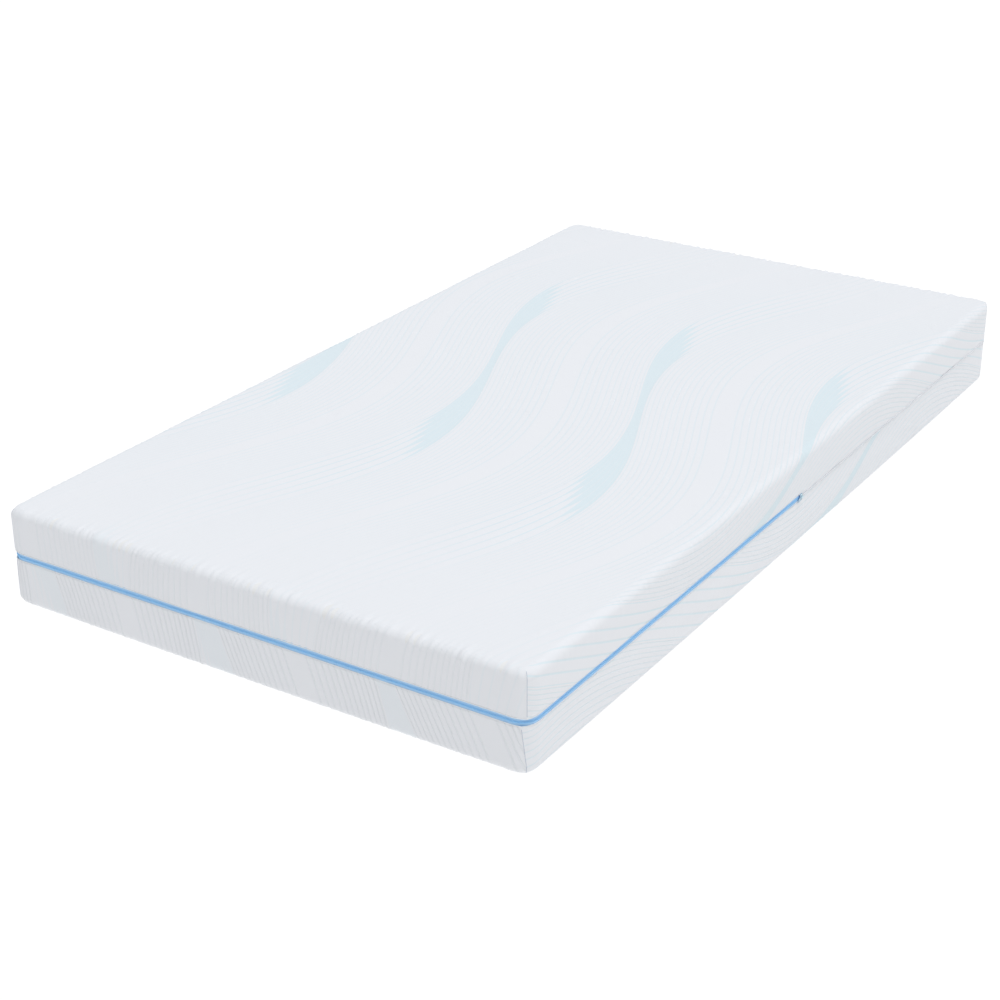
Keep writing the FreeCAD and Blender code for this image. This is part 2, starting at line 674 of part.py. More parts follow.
def pull_tab():
    """A flat tab with an eye, whose round bar lies under the slider's crown and is its hinge."""
    body = doc.addObject("PartDesign::Body", "pull_tab")
    body.Label = "pull_tab"
    half = "(%s / 2)" % size("tab_width")
    tip = "(%s / 2)" % size("tab_tip_width")
    end = "(%s / 2 - %s)" % (size("tab_bar"), size("tab_length"))
    neck = "(0 - %s / 2 - %s)" % (size("tab_bar"), size("tab_eye_length"))
    taper = "(%s + %s)" % (end, size("tab_tip_taper"))
    outline = [(end, "%s * 0.6" % tip), (taper, tip), (neck, half), ("0", half)]
    thickness = size("tab_thickness")
    plate = symmetric_plate(body, "tab_plate", "0 - %s / 2" % thickness, thickness, outline)

    eye_half = "(%s / 2)" % size("tab_eye_width")
    eye = [(neck, eye_half), (size("tab_bar"), eye_half)]
    dimensions = [(i, positive(x), y) for i, (x, y) in enumerate(eye)]
    cut_through(body, "eye", plate_sketch(body, "eye_outline", "0", eye, dimensions), plate)

    bar_sketch = new_sketch(body, "bar_outline", "XY_Plane")
    radius = value(size("tab_bar")) / 2
    bar_sketch.addGeometry(Part.Circle(Vector(0, 0, 0), Vector(0, 0, 1), radius), False)
    bar_sketch.addConstraint(Sketcher.Constraint("Coincident", 0, 3, -1, 1))
    tie(bar_sketch, Sketcher.Constraint("Diameter", 0, 2 * radius), size("tab_bar"))
    bar = pad(body, "bar", bar_sketch, size("tab_width"))
    bar.Midplane = True

    hole_sketch = new_sketch(body, "tip_hole_outline", "YZ_Plane")
    middle = "(%s + %s)" % (end, size("tab_hole_setback"))
    radius = value(size("tab_hole_diameter")) / 2
    hole_sketch.addGeometry(Part.Circle(Vector(value(middle), 0, 0), Vector(0, 0, 1), radius), False)
    hole_sketch.addConstraint(Sketcher.Constraint("PointOnObject", 0, 3, -1))
    reach = Sketcher.Constraint("DistanceX", 0, 3, -1, 1, abs(value(middle)))
    tie(hole_sketch, reach, positive(middle))
    tie(hole_sketch, Sketcher.Constraint("Diameter", 0, 2 * radius), size("tab_hole_diameter"))
    doc.recompute()
    cut_through(body, "tip_hole", hole_sketch, body.Tip)

    place_on_zip(body, PIVOT_OUT)
    body.Placement = Placement(body.Placement.Base, Rotation(ACROSS, DIMENSIONS["tab_droop_deg"]))
    bind(body, "Placement.Rotation.Angle", "%s * 1 deg" % size("tab_droop_deg"))
    return body


def cut_through(body, name, sketch, before):
    """Cuts a sketch through the whole thickness both ways."""
    feature = body.newObject("PartDesign::Pocket", name)
    feature.Profile = sketch
    feature.Type = "ThroughAll"
    feature.Midplane = True
    doc.recompute()
    if not feature.Shape.Volume < before.Shape.Volume:
        raise RuntimeError("%s cuts nothing" % name)


def place_on_zip(body, out):
    """Moves a piece from its own origin to the slider's resting place."""
    bind(body, "Placement.Base.x", "%s + %s" % (OUTER_PLATE_X, out))
    bind(body, "Placement.Base.y", SLIDER_Y)
    bind(body, "Placement.Base.z", size("zip_level"))


parts = []
for build in (
    foam_layers,
    inner_sleeve,
    cover_base,
    cover_top_rear,
    cover_top_flap,
    zip_tapes,
    zip_coils,
    zip_end_tacks,
    joining_seam,
    hem_stitching,
    corner_seams,
):
    parts.extend(build())
parts.append(zip_slider())
parts.append(pull_tab())
doc.recompute()

faults = [item.Name for item in doc.Objects if "Invalid" in item.State or "Error" in item.State]
faults += [part.Label for part in parts if part.Shape.isNull() or not part.Shape.isValid()]
if faults:
    raise RuntimeError("these did not build: " + ", ".join(faults))

os.makedirs("parts", exist_ok=True)
for part in parts:
    part.Shape.exportStep("parts/%s.step" % part.Label)
    box = part.Shape.BoundBox
    print("%-22s %8.1f x %8.1f x %7.1f mm" % (part.Label, box.XLength, box.YLength, box.ZLength))
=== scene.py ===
import math

import bpy
import numpy as np
from mathutils import Matrix, Vector


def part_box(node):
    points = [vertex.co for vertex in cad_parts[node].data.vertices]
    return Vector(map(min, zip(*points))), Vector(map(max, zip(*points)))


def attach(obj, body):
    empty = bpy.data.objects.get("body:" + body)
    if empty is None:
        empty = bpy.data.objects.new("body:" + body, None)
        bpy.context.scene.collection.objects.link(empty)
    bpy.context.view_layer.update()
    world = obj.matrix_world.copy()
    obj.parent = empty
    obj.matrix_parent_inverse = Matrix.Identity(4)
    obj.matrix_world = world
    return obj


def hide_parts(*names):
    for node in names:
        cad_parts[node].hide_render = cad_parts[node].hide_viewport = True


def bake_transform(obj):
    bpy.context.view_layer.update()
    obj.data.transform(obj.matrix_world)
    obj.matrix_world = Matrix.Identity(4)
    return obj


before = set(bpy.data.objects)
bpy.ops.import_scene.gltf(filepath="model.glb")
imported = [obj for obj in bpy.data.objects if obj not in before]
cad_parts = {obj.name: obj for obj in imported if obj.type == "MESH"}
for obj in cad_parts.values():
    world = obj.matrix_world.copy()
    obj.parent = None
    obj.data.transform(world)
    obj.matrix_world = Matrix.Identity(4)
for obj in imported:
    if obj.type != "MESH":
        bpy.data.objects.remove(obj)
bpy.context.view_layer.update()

# ---------------------------------------------------------------- sizes, metres
BASE_BOX, FLAP_BOX, REAR_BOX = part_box("cover_base"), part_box("cover_top_flap"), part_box("cover_top_rear")
HALF_WIDTH = BASE_BOX[1].x
HALF_LENGTH = BASE_BOX[1].y
HEIGHT = FLAP_BOX[1].z
CORNER = 0.030  # plan radius of the cover's corners
EDGE = 0.014  # radius of the top and base edges
FLAT_CORNER = CORNER - EDGE  # plan radius of a panel's flat part
STRAIGHT_X = HALF_WIDTH - CORNER
STRAIGHT_Y = HALF_LENGTH - CORNER
FLAP_HEM = FLAP_BOX[0].z
REAR_HEM = REAR_BOX[0].z
TAPE_SHOWING = 0.0049  # how much of the lower tape stands above the hem
BASE_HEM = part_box("zip_tape_lower")[1].z - TAPE_SHOWING
BASE_REAR_HEM = BASE_BOX[1].z
ZIP_END = -0.003
ZIP_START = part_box("zip_coil_lower")[1].y
FOLD = (FLAP_BOX[1].y + REAR_BOX[0].y) / 2
ROLL_FRONT, ROLL_BACK = FOLD - 0.05, FOLD + 0.024  # the mesh is finer between these


# ---------------------------------------------------------------- material maths
class Thread:
    """A value that runs through a material. Arithmetic on it adds Math nodes."""

    def __init__(self, tree, socket=None):
        self.tree = tree
        self.socket = socket

    def node(self, kind, settings=None, sockets=None, out=0):
        """Adds a node: its settings first, then the values or links of its sockets."""
        made = self.tree.nodes.new(kind)
        for name, value in (settings or {}).items():
            setattr(made, name, value)
        for name, value in (sockets or {}).items():
            if isinstance(value, Thread):
                self.tree.links.new(value.socket, made.inputs[name])
            else:
                made.inputs[name].default_value = value
        return Thread(self.tree, made.outputs[out])

    def math(self, operation, *others):
        return self.node("ShaderNodeMath", {"operation": operation}, dict(enumerate((self, *others))))

    def __add__(self, other):
        return self.math("ADD", other)

    def __sub__(self, other):
        return self.math("SUBTRACT", other)

    def __rsub__(self, other):
        return self.math("MULTIPLY", -1.0).math("ADD", other)

    def __mul__(self, other):
        return self.math("MULTIPLY", other)

    def __truediv__(self, other):
        return self.math("DIVIDE", other)

    def __rtruediv__(self, other):
        return self.math("POWER", -1.0).math("MULTIPLY", other)

    __radd__ = __add__
    __rmul__ = __mul__


def either(name, operation, plain):
    """One function that works on a material's values and on arrays alike."""

    def work(value, *others):
        if isinstance(value, Thread):
            return value.math(operation, *others)
        return plain(value, *others)

    work.__name__ = name
    return work


cosine = either("cosine", "COSINE", np.cos)
floor = either("floor", "FLOOR", np.floor)
size = either("size", "ABSOLUTE", np.abs)
larger = either("larger", "MAXIMUM", np.maximum)
smaller = either("smaller", "MINIMUM", np.minimum)
under = either("under", "LESS_THAN", lambda a, b: np.less(a, b) * 1.0)
over = either("over", "GREATER_THAN", lambda a, b: np.greater(a, b) * 1.0)


def held(value, low=0.0, high=1.0):
    return smaller(larger(value, low), high)


def part_of(value):
    """The part after the point."""
    return value - floor(value)


def apart(value):
    """0 on each whole number, 1 half way between two."""
    return size(part_of(value + 0.5) - 0.5) * 2.0


def as_colour(value):
    return value if isinstance(value, Thread) else (*value, 1.0)


def mixed(share, first, second):
    """A colour between two, as share goes from 0 to 1."""
    sockets = {0: share, 6: as_colour(first), 7: as_colour(second)}
    return share.node("ShaderNodeMix", {"data_type": "RGBA"}, sockets, out=2)


def cloth_place(start):
    """Across and along the cut cloth, in metres."""
    return axes_of(start.node("ShaderNodeUVMap", {"uv_map": "cloth"}))


def solid_place(start):
    return start.node("ShaderNodeTexCoord", out=3)


def axes_of(vector, count=2):
    made = vector.tree.nodes.new("ShaderNodeSeparateXYZ")
    vector.tree.links.new(vector.socket, made.inputs[0])
    return [Thread(vector.tree, made.outputs[i]) for i in range(count)]


def noise(start, place, scale, detail=2.0, rough=0.5):
    return start.node(
        "ShaderNodeTexNoise", None, {"Vector": place, "Scale": scale, "Detail": detail, "Roughness": rough}
    )


def raised(height, strength=1.0):
    """A bump from a height in metres."""
    return height.node("ShaderNodeBump", None, {"Strength": strength, "Distance": 1.0, "Height": height})


def finish(name, recipe, **constants):
    """A material: constants set on the shader, and what the recipe says changes over the surface."""
    material = bpy.data.materials.new(name)
    material.use_nodes = True
    tree = material.node_tree
    shader = tree.nodes["Principled BSDF"]
    for socket, value in constants.items():
        shader.inputs[socket.replace("_", " ")].default_value = value
    for socket, value in recipe(Thread(tree)).items():
        tree.links.new(value.socket, shader.inputs[socket])
    return material


# ---------------------------------------------------------------- the woven pattern
# Lengths in metres. A ribbon lies between two waves, and parts into a comb of lines beyond each waist.
REPEAT_ACROSS = 0.372
REPEAT_ALONG = 1.432
STEP_ALONG = 0.067  # each column of the pattern starts this much further forward
WAVE = 2 * math.pi / REPEAT_ALONG
LEFT_PLACE, LEFT_SWING, LEFT_CREST = 0.2941, 0.0946, 0.4478
RIGHT_PLACE, RIGHT_SWING, RIGHT_CREST = 0.3675, 0.0972, 0.5850
WAIST = 0.875
UPPER_COMB, LOWER_COMB, COMB_SLANT = -0.430, 0.285, 0.165
COMB_LINES = 6
COMB_TAPER = 0.085
COMB_THIN = 0.26  # a comb line's share of its spacing, far out
COMB_FADE = 1.6
FINE_LINES = 13.0  # from the middle of a gap to a ribbon
FINE_THICK = 0.30
PLAIN_MIDDLE = 0.09  # the share of each gap that has no lines


def ribbon_edge(v, column, place, swing, crest):
    """Where one edge of a ribbon runs, across the cloth."""
    return place + column * REPEAT_ACROSS - swing * cosine((v - crest - column * STEP_ALONG) * WAVE)


def left_edge(v, column):
    return ribbon_edge(v, column, LEFT_PLACE, LEFT_SWING, LEFT_CREST)


def jacquard(u, v):
    """How much of the blue ribbon, and of the fine lines, there is at each place."""
    guess = (u - LEFT_PLACE) * (1 / REPEAT_ACROSS)
    sway = cosine((v - LEFT_CREST - guess * STEP_ALONG) * WAVE) * (LEFT_SWING / REPEAT_ACROSS)
    column = floor(guess + sway)
    column = column - under(u, left_edge(v, column)) + under(left_edge(v, column + 1.0), u)
    left = left_edge(v, column)
    right = ribbon_edge(v, column, RIGHT_PLACE, RIGHT_SWING, RIGHT_CREST)
    beyond = left_edge(v, column + 1.0)

    across = (u - left) / (right - left)
    along = v - WAIST - column * STEP_ALONG
    along = along - floor(along * (1 / REPEAT_ALONG) + 0.5) * REPEAT_ALONG
    slant = across * COMB_SLANT
    past = larger(slant + UPPER_COMB - along, along - LOWER_COMB - slant)
    thick = held(1.0 - past * (1 / COMB_TAPER), COMB_THIN, 1.04)
    ribbon = held((thick - apart(across * float(COMB_LINES))) * 6.0) * under(across, 1.0)
    ribbon = ribbon * (1.0 - held(past * COMB_FADE) * 0.5)

    gap = size((u - right) / (beyond - right) * 2.0 - 1.0)
    count = (gap * 0.72 + gap * gap * 0.28) * FINE_LINES
    fine = held((FINE_THICK - apart(count + 0.5)) * 5.0) * over(gap, PLAIN_MIDDLE) * over(across, 1.0)
    return ribbon, fine


# ---------------------------------------------------------------- materials
KNIT_WHITE = (0.862, 0.875, 0.905)
# gather sets both the folds' bump and their painted shade
CLOTH_MARKS = ("dye", "relief", "gather")
KNIT_BLUE = (0.735, 0.842, 0.890)
# the grey that the knit's own tone and the painted shade in the gathers mix toward
KNIT_SHADE = (0.70, 0.74, 0.80)
WALE = 0.0017  # width of a column of loops
COURSE = 0.0014  # height of a row of loops
RIBBON_DYE, FINE_DYE = 0.92, 0.50
FOLDS_ACROSS, FOLDS_DOWN = 95.0, 9.0  # gathers in a metre of edge, and down the wall
MILLIMETRE = 0.001


def cover_cloth(start):
    u, v = cloth_place(start)
    ribbon, fine = jacquard(u, v)
    wale = part_of(u * (1 / WALE)) - 0.5
    loops = cosine((v * (1 / COURSE) + size(wale) * 1.3) * (2 * math.pi))
    ridge = 1.0 - size(wale) * 2.0
    cloud = noise(start, solid_place(start), 9.0, 3.0)
    marks = [start.node("ShaderNodeAttribute", {"attribute_name": name}, out=2) for name in CLOTH_MARKS]
    dye, relief, gather = marks
    dyed = held(ribbon * RIBBON_DYE + fine * FINE_DYE) * dye
    stretched = start.node("ShaderNodeCombineXYZ", None, {"X": u * FOLDS_ACROSS, "Y": v * FOLDS_DOWN})
    folds = (noise(start, stretched, 1.0, 1.0) - 0.5) * gather
    colour = mixed(dyed, KNIT_WHITE, KNIT_BLUE)
    # loops and cloud are the knit's own tone; folds is painted shade, darker in the gathers' hollows
    shade = held(loops * 0.03 + cloud * 0.06 + folds * 0.45, 0.0, 0.3)
    colour = mixed(shade, colour, KNIT_SHADE)
    loop_height = ridge * 0.00003 + loops * 0.00002
    height = loop_height - fine * relief * MILLIMETRE - ribbon * 0.00010 - folds * 0.0024
    return {
        "Base Color": colour,
        "Roughness": cloud * 0.12 + 0.80,
        "Normal": raised(height),
    }


def loose_fibre(white, grey):
    def recipe(start):
        place = solid_place(start)
        lumps = noise(start, place, 42.0, 4.0, 0.65)
        strands = noise(start, place, 420.0, 3.0, 0.6)
        # Grey where the fibre lies lower, between lumps and strands: painted shade.
        return {
            "Base Color": mixed(held(lumps * 0.7 + strands * 0.4 - 0.1), grey, white),
            "Roughness": strands * 0.1 + 0.88,
            "Normal": raised(lumps * 0.0012 + strands * 0.0003),
        }

    return recipe


SLEEVE_RIB, SLEEVE_ROW = 0.0026, 0.0016


def rib_knit(start):
    u, v = cloth_place(start)
    rib = cosine(u * (2 * math.pi / SLEEVE_RIB))
    row = cosine(v * (2 * math.pi / SLEEVE_ROW))
    cloud = noise(start, solid_place(start), 14.0, 3.0)
    # Darker in the hollows between ribs and rows: painted shade; the cloud is the knit's own random tone.
    shade = held(0.5 - rib * 0.35 + cloud * 0.2 - row * 0.1)
    return {
        "Base Color": mixed(shade, (0.90, 0.90, 0.885), (0.80, 0.80, 0.79)),
        "Roughness": cloud * 0.1 + 0.82,
        "Normal": raised(rib * 0.00007 + row * 0.00003),
    }


def open_cells(light, dark, cell):
    def recipe(start):
        place = solid_place(start)
        pore = start.node("ShaderNodeTexVoronoi", None, {"Vector": place, "Scale": 1 / cell})
        cloud = noise(start, place, 12.0, 4.0)
        # Darker in the pores and dips of the surface: painted shade.
        return {
            "Base Color": mixed(held(pore * 1.3 + cloud * 0.25), dark, light),
            "Roughness": cloud * 0.1 + 0.85,
            "Normal": raised(pore * 0.0005 + cloud * 0.0005),
        }

    return recipe


WARP, WEFT = 0.0011, 0.0009


def woven_tape(start):
    along, across = cloth_place(start)
    side = cosine(across * (2 * math.pi / WARP))
    twill = cosine((along * (1 / WEFT) + apart(across * (0.5 / WARP)) * 0.8) * (2 * math.pi))
    cloud = noise(start, solid_place(start), 35.0, 3.0)
    # Darker in the hollows between warp and twill: painted shade; the cloud is the tape's own random tone.
    shade = held(0.45 - side * 0.25 - twill * 0.2 + cloud * 0.2)
    return {
        "Base Color": mixed(shade, (0.45, 0.73, 1.0), (0.38, 0.65, 0.96)),
        "Roughness": cloud * 0.15 + 0.55,
        "Normal": raised(side * 0.00005 + twill * 0.00004),
    }


def nylon(start):
    cloud = noise(start, solid_place(start), 180.0, 2.0)
    return {
        "Base Color": mixed(cloud, (0.36, 0.71, 1.0), (0.44, 0.80, 1.0)),
        "Roughness": cloud * 0.15 + 0.28,
        "Normal": raised(cloud * 0.00002),
    }


PLY = 0.0007


def twisted_thread(light, dark):
    def recipe(start):
        place = solid_place(start)
        x, y, z = axes_of(place, 3)
        ply = cosine((x + y + z * 1.6) * (2 * math.pi / PLY))
        cloud = noise(start, place, 90.0, 2.0)
        # Darker in the grooves between the plies: painted shade; the cloud is the thread's own random tone.
        return {
            "Base Color": mixed(held(ply * 0.3 + cloud * 0.6), dark, light),
            "Roughness": cloud * 0.15 + 0.45,
            "Normal": raised(ply * 0.00004),
        }

    return recipe


# the navy of the painted shadow inside the slider's mouth
MOUTH_SHADOW_NAVY = (0.045, 0.13, 0.37)


def enamel(light, dark, mouth=0.0):
    """Sprayed metal with a painted navy shadow inside the mouth: mouth is the share of its length."""

    def recipe(start):
        place = solid_place(start)
        cloud = noise(start, place, 240.0, 3.0)
        worn = noise(start, place, 900.0, 2.0)
        across, along = axes_of(start.node("ShaderNodeTexCoord", out=0))
        # inside: where the painted navy shadow of the mouth covers the enamel
        inside = held((mouth - along) * 12.0) * held((0.75 - across) * 6.0)
        return {
            "Base Color": mixed(inside, mixed(cloud, dark, light), MOUTH_SHADOW_NAVY),
            "Roughness": worn * 0.2 + 0.22,
            "Metallic": worn * 0.1 + 0.08,
            "Normal": raised(worn * 0.000012),
        }

    return recipe


COVER_CLOTH = finish("white jacquard knit", cover_cloth, Sheen_Weight=0.12, Sheen_Roughness=0.6)
WHITE_FIBRE = loose_fibre((0.92, 0.92, 0.915), (0.80, 0.805, 0.81))
WADDING = finish("fibre wadding", WHITE_FIBRE, Sheen_Weight=0.2)
SLEEVE = finish("rib knitted sleeve", rib_knit, Sheen_Weight=0.15)
CREAM_CELLS = open_cells((0.88, 0.87, 0.83), (0.72, 0.71, 0.67), 0.0022)
BLUE_CELLS = open_cells((0.76, 0.87, 0.92), (0.58, 0.72, 0.80), 0.0014)
SUPPORT_FOAM = finish("support foam cells", CREAM_CELLS)
MEMORY_FOAM = finish("memory foam cells", BLUE_CELLS)
TAPE = finish("woven zip tape", woven_tape, Sheen_Weight=0.1)
# The coil glows faintly blue: painted light that brightens the nylon against the shade between its loops.
COIL_WITH_PAINTED_GLOW = finish(
    "nylon coil",
    nylon,
    Coat_Weight=0.3,
    Coat_Roughness=0.25,
    Emission_Color=(0.0, 0.22, 1.0, 1.0),
    Emission_Strength=0.11,
)
# The darker colour of each pair also serves as painted shade in the grooves between plies.
WHITE_PLY = twisted_thread((0.92, 0.93, 0.95), (0.80, 0.82, 0.86))
GREY_PLY = twisted_thread((0.66, 0.70, 0.78), (0.52, 0.56, 0.66))
BLUE_PLY = twisted_thread((0.45, 0.68, 0.90), (0.30, 0.52, 0.80))
THREAD = finish("twisted sewing thread", WHITE_PLY, Sheen_Weight=0.1)
SEAM_THREAD = finish("grey sewing thread", GREY_PLY, Sheen_Weight=0.1)
BLUE_THREAD = finish("blue sewing thread", BLUE_PLY, Sheen_Weight=0.1)
# The slider's enamel carries the painted mouth shadow over a quarter of its length.
PALE_ENAMEL = enamel((0.66, 0.83, 0.90), (0.57, 0.76, 0.84), 0.25)
GREY_ENAMEL = enamel((0.50, 0.66, 0.76), (0.42, 0.58, 0.70))
SLIDER_ENAMEL = finish("pale enamelled slider", PALE_ENAMEL, Coat_Weight=0.5)
TAB_ENAMEL = finish("grey blue pull tab", GREY_ENAMEL, Coat_Weight=0.5)


# ---------------------------------------------------------------- meshes
def new_piece(name, points, quads, material, body=None, uv=None, replaces=()):
    """A smooth mesh of quads that rides on a body and stands for some of the frame's nodes."""
    quads = np.asarray(quads, np.int32).reshape(-1, 4)
    mesh = bpy.data.meshes.new(name)
    mesh.vertices.add(len(points))
    mesh.vertices.foreach_set("co", np.asarray(points, np.float32).ravel())
    mesh.loops.add(quads.size)
    mesh.loops.foreach_set("vertex_index", quads.ravel())
    mesh.polygons.add(len(quads))
    mesh.polygons.foreach_set("loop_start", np.arange(0, quads.size, 4, dtype=np.int32))
    mesh.polygons.foreach_set("use_smooth", np.ones(len(quads), bool))
    mesh.update(calc_edges=True)
    if uv is not None:
        layer = mesh.uv_layers.new(name="cloth")
        layer.uv.foreach_set("vector", np.asarray(uv, np.float32).ravel())
    mesh.materials.append(material)
    piece = bpy.data.objects.new(name, mesh)
    bpy.context.scene.collection.objects.link(piece)
    if body:
        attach(piece, body)
    if replaces:
        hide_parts(*replaces)
    return piece


def lattice(index, turned=False):
    """The quads between the points of a grid of point numbers or of places."""
    corners = (index[:-1, :-1], index[:-1, 1:], index[1:, 1:], index[1:, :-1])
    if turned:
        corners = corners[::-1]
    stacked = np.stack(corners, axis=2)
    return stacked.reshape(-1, *stacked.shape[2:])


def spaced(*runs):
    """Places along several runs, each (from, to, step)."""
    parts = [np.linspace(a, b, max(1, round((b - a) / step)) + 1)[:-1] for a, b, step in runs]
    return np.concatenate([*parts, [runs[-1][1]]])


SIDES = {
    "front": ((0, -1), (1, 0), STRAIGHT_X),
    "right": ((1, 0), (0, 1), STRAIGHT_Y),
    "back": ((0, 1), (-1, 0), STRAIGHT_X),
    "left": ((-1, 0), (0, -1), STRAIGHT_Y),
}


def smooth(value):
    value = np.clip(value, 0.0, 1.0)
    return value * value * (3.0 - 2.0 * value)


LEAN_DEPTH = 0.07  # a base corner's seam leans over this much of its height
FLAP_DEPTH = 0.0815


class Half:
    """One layer of the upper or lower half: a flat panel, its rounded edge and four walls down to the hem."""

    def __init__(self, upper, inset, hem, cell, peak=0.0, lean=0.0, hem_rows=()):
        self.upper = upper
        self.flat_x = STRAIGHT_X + FLAT_CORNER
        self.flat_y = STRAIGHT_Y + FLAT_CORNER
        small = min(cell, FLAT_CORNER / 3)
        fine = min(cell, 0.002) if upper else cell
        xs = spaced(
            (-self.flat_x, -STRAIGHT_X, small),
            (-STRAIGHT_X, STRAIGHT_X, cell),
            (STRAIGHT_X, self.flat_x, small),
        )
        ys = spaced(
            (-self.flat_y, -STRAIGHT_Y, small),
            (-STRAIGHT_Y, ROLL_FRONT, cell),
            (ROLL_FRONT, ROLL_BACK, fine),
            (ROLL_BACK, STRAIGHT_Y, cell),
            (STRAIGHT_Y, self.flat_y, small),
        )
        x, y = np.meshgrid(xs, ys)
        over_x = np.maximum(np.abs(x) - STRAIGHT_X, 0)
        over_y = np.maximum(np.abs(y) - STRAIGHT_Y, 0)
        pull = np.maximum(over_x, over_y) / np.maximum(np.hypot(over_x, over_y), 1e-9)
        panel_x = np.sign(x) * (np.minimum(np.abs(x), STRAIGHT_X) + over_x * pull)
        panel_y = np.sign(y) * (np.minimum(np.abs(y), STRAIGHT_Y) + over_y * pull)
        count = x.size
        grid = np.arange(count).reshape(x.shape)
        drop = np.full(count, inset)
        self.points = [np.c_[panel_x.ravel(), panel_y.ravel(), drop]]
        self.normals = [np.tile((0.0, 0.0, 1.0), (count, 1))]
        self.outs = [np.zeros((count, 2))]
        self.flat = [np.c_[panel_x.ravel(), panel_y.ravel()]]
        self.patches = [(grid, np.dstack([panel_x, panel_y]), False)]
        self.seams = []
        rims = {"front": grid[0], "right": grid[:, -1], "back": grid[-1, ::-1], "left": grid[::-1, 0]}
        for name, (out, along, straight) in SIDES.items():
            out, along = np.array(out, float), np.array(along, float)
            rim = rims[name]
            start = np.c_[x.ravel()[rim], y.ravel()[rim]]
            tau = start @ along
            turn = np.sign(tau) * np.arctan2(np.maximum(np.abs(tau) - straight, 0), FLAT_CORNER)
            rim_xy = self.points[0][rim, :2]
            run = np.clip(tau, -straight, straight) + CORNER * turn
            rows = self.rows(inset, hem(rim_xy[:, 1]), cell, hem_rows)
            edge = self.flat_x if straight == STRAIGHT_Y else self.flat_y
            is_front = smooth(-rim_xy[:, 1] / 0.01)
            lean_way = {"front": -1.0, "back": 0.0}.get(name, 1.0)
            places, normals, flats = [], [], []
            for reach, fall, tilt, length, crease in rows:
                extra = (CORNER - inset) * peak * crease * (1 / np.cos(turn) - 1)
                swing = lean * crease * np.clip((np.mean(fall) - EDGE) / LEAN_DEPTH, 0, 1)
                angle = turn + lean_way * np.sign(tau) * is_front * (np.abs(turn) / (math.pi / 4)) * swing
                toward = np.outer(np.cos(angle), out) + np.outer(np.sin(angle), along)
                place = rim_xy + toward * (reach + extra)[:, None]
                if lean:
                    hub = rim_xy - (np.outer(np.cos(turn), out) + np.outer(np.sin(turn), along)) * FLAT_CORNER
                    place = hub + toward * (FLAT_CORNER + reach + extra)[:, None]
                places.append(np.c_[place, fall + 0 * tau])
                normals.append(np.c_[toward * math.sin(tilt), np.full(len(tau), math.cos(tilt))])
                flats.append(np.outer(edge + length + 0 * tau, out) + np.outer(run, along))
            places, normals, flats = np.array(places), np.array(normals), np.array(flats)
            number = count + np.arange(places[:, :, 0].size).reshape(places.shape[:2])
            count += number.size
            self.points.append(places.reshape(-1, 3))
            self.normals.append(normals.reshape(-1, 3))
            self.flat.append(flats.reshape(-1, 2))
            self.outs.append(np.tile(out, (number.size, 1)))
            rim_flat = np.outer(edge + 0 * tau, out) + np.outer(run, along)
            self.patches.append((np.vstack([rim, number]), np.concatenate([rim_flat[None], flats]), True))
            self.seams.append(number[:, -1])
        self.points = np.concatenate(self.points)
        self.normals = np.concatenate(self.normals)
        self.flat = np.concatenate(self.flat)
        self.outs = np.concatenate(self.outs)
        if upper:
            self.points[:, 2] = HEIGHT - self.points[:, 2]
        else:
            self.normals[:, 2] *= -1

    def rows(self, inset, hem, cell, hem_rows):
        """Each row's reach, fall from the panel's face, tilt, cloth length and share of the corner's crease."""
        edge = EDGE - inset
        steps = max(4, round(EDGE * math.pi / 2 / min(cell, 0.0045)))
        made = []
        for i in range(1, steps + 1):
            tilt = math.pi / 2 * i / steps
            fall = inset + edge * (1 - math.cos(tilt)) + 0 * hem
            made.append((edge * math.sin(tilt), fall, tilt, EDGE * tilt + 0 * hem, smooth(1.7 * i / steps)))
        wall_end = hem_rows[0][0] if hem_rows else 0.0
        steps = max(3, round((FLAP_DEPTH - EDGE) / min(cell, 0.006)))
        wall = [(EDGE + (hem - wall_end - EDGE) * i / steps, 0.0) for i in range(1, steps + 1)]
        for fall, reach in wall + [(hem - short, reach) for short, reach in hem_rows[1:]]:
            made.append((edge + reach + 0 * hem, fall, math.pi / 2, EDGE * (math.pi / 2 - 1) + fall, 1.0))
        return made

    def quads(self, turned=False):
        turned = turned != (not self.upper)
        return np.concatenate([lattice(index, (strip != turned)) for index, flat, strip in self.patches])

    def cloth_map(self, place):
        turned = not self.upper
        maps = [lattice(place(flat), strip != turned) for index, flat, strip in self.patches]
        return np.concatenate(maps).reshape(-1, 2)


def top_cloth(flat):
    """Where a point of the upper half lies on its cut cloth."""
    return np.stack([flat[..., 0] + HALF_WIDTH, HALF_LENGTH - flat[..., 1]], axis=-1)


BASE_ACROSS, BASE_ALONG = 1.6613, 0.34  # where the lower half was cut from the patterned cloth
BASE_SKEW = 0.20


def base_cloth(flat):
    """Where a point of the lower half lies on its cut cloth, which was sewn on a little askew in front."""
    up_front = np.maximum(-flat[..., 1] - HALF_LENGTH, 0)
    across = BASE_ACROSS - flat[..., 0] - BASE_SKEW * up_front
    return np.stack([across, HALF_LENGTH + BASE_ALONG - flat[..., 1]], axis=-1)


# ---------------------------------------------------------------- how the cloth sits on the foam
chance = np.random.default_rng(7)


def ripple(lengths, weight):
    """A sum of waves of these lengths, with chance phases."""
    terms = [(2 * math.pi / length, chance.uniform(0, 2 * math.pi), share) for length, share in lengths]
    total = sum(share for _, _, share in terms)

    def work(t):
        return sum(share * np.sin(rate * t + phase) for rate, phase, share in terms) * (weight / total)

    return work


